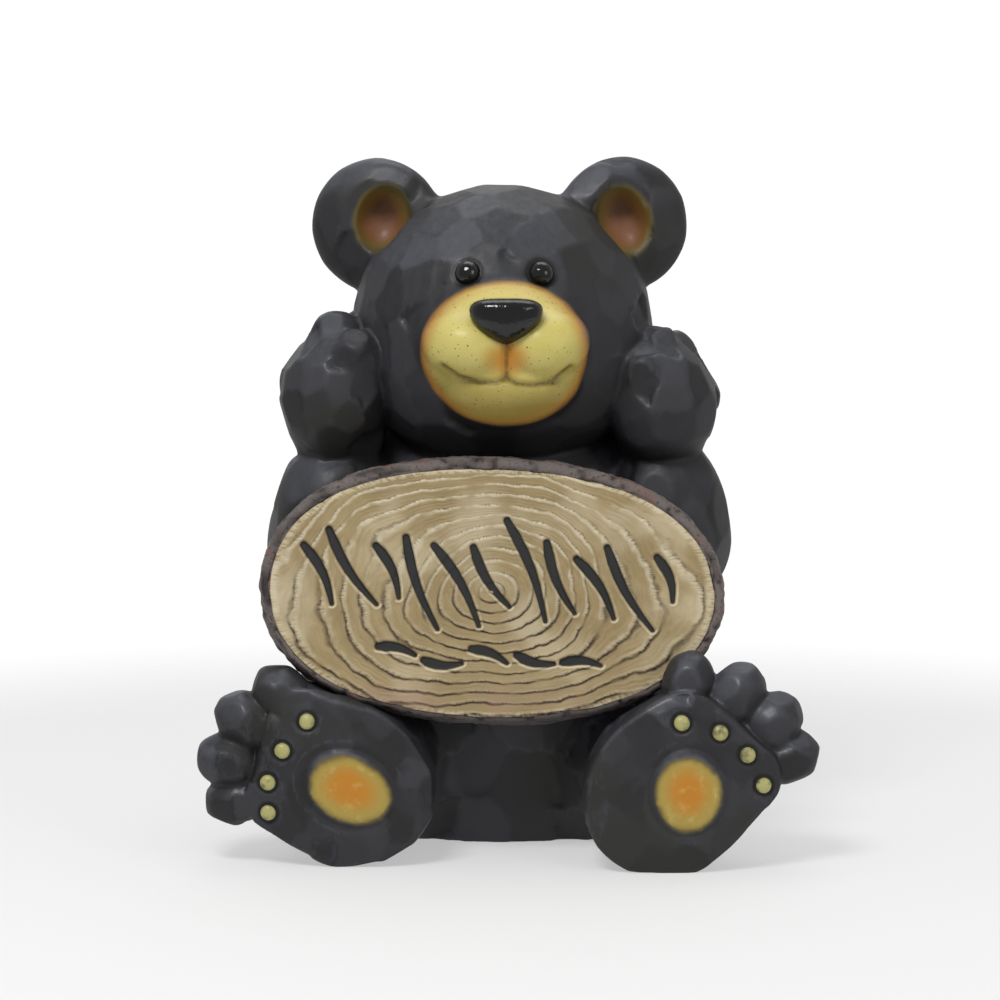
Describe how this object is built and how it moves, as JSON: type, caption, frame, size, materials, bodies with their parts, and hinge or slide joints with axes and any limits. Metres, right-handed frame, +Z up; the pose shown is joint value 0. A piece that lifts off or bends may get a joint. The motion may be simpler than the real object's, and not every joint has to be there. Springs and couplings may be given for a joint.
{
  "type": "chainsaw carved bear",
  "caption": "Seated bear statue with a carved-look coat, paws on its cheeks, and an oval log-slice sign against its belly; stands by its own weight.",
  "frame": {"origin": "on the ground, under the middle of the seat, at the centre of the flat base", "axes": "+Z up, the bear faces -Y, +X to the viewer's right"},
  "size_m": [0.3968, 0.3077, 0.4516],
  "materials": {
    "painted_coat": "cast resin, brushed in satin charcoal over carved facets; yellow muzzle and pads, russet ears, gloss black nose and eyes",
    "painted_sign": "cast resin, painted as a sawn log slice: beige rings with cream ridges and brown grooves, grey-brown bark"
  },
  "bodies": {
    "root": {"bear": "painted_coat", "sign": "painted_sign"}
  },
  "joints": []
}
